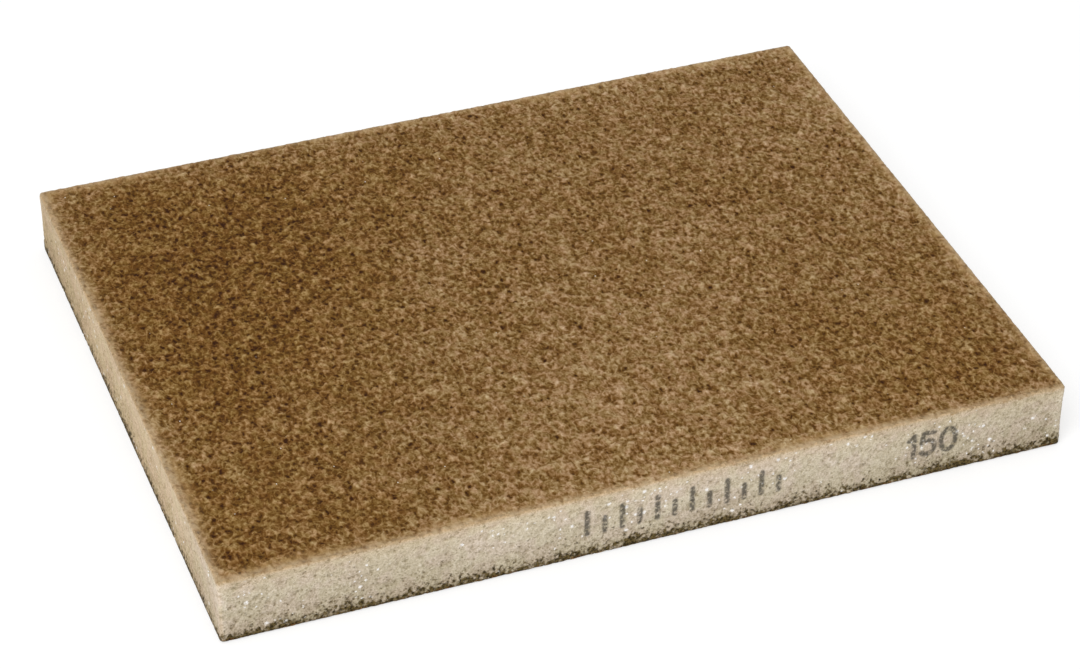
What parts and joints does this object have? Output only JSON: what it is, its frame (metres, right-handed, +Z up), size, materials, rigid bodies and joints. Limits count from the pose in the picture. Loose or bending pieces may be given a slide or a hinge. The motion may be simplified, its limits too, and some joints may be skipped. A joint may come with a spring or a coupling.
{
  "type": "sanding sponge",
  "caption": "Flat rectangular foam sanding pad with a brown abrasive coat on both broad faces and plain cut sides.",
  "frame": {"origin": "centre of the lower sanding face", "axes": "+X along the length, +Y across the width to the back, +Z up through the thickness to the upper sanding face; -Y is the long side that carries the printed grit number"},
  "size_m": [0.123, 0.096, 0.0105],
  "materials": {
    "foam": "matt open-cell foam, cream, with fine pores",
    "upper_grit": "matt brown abrasive grit in resin",
    "lower_grit": "matt brown abrasive grit in resin"
  },
  "bodies": {
    "root": {"foam_core": "foam", "upper_coat": "upper_grit", "lower_coat": "lower_grit"}
  },
  "joints": []
}
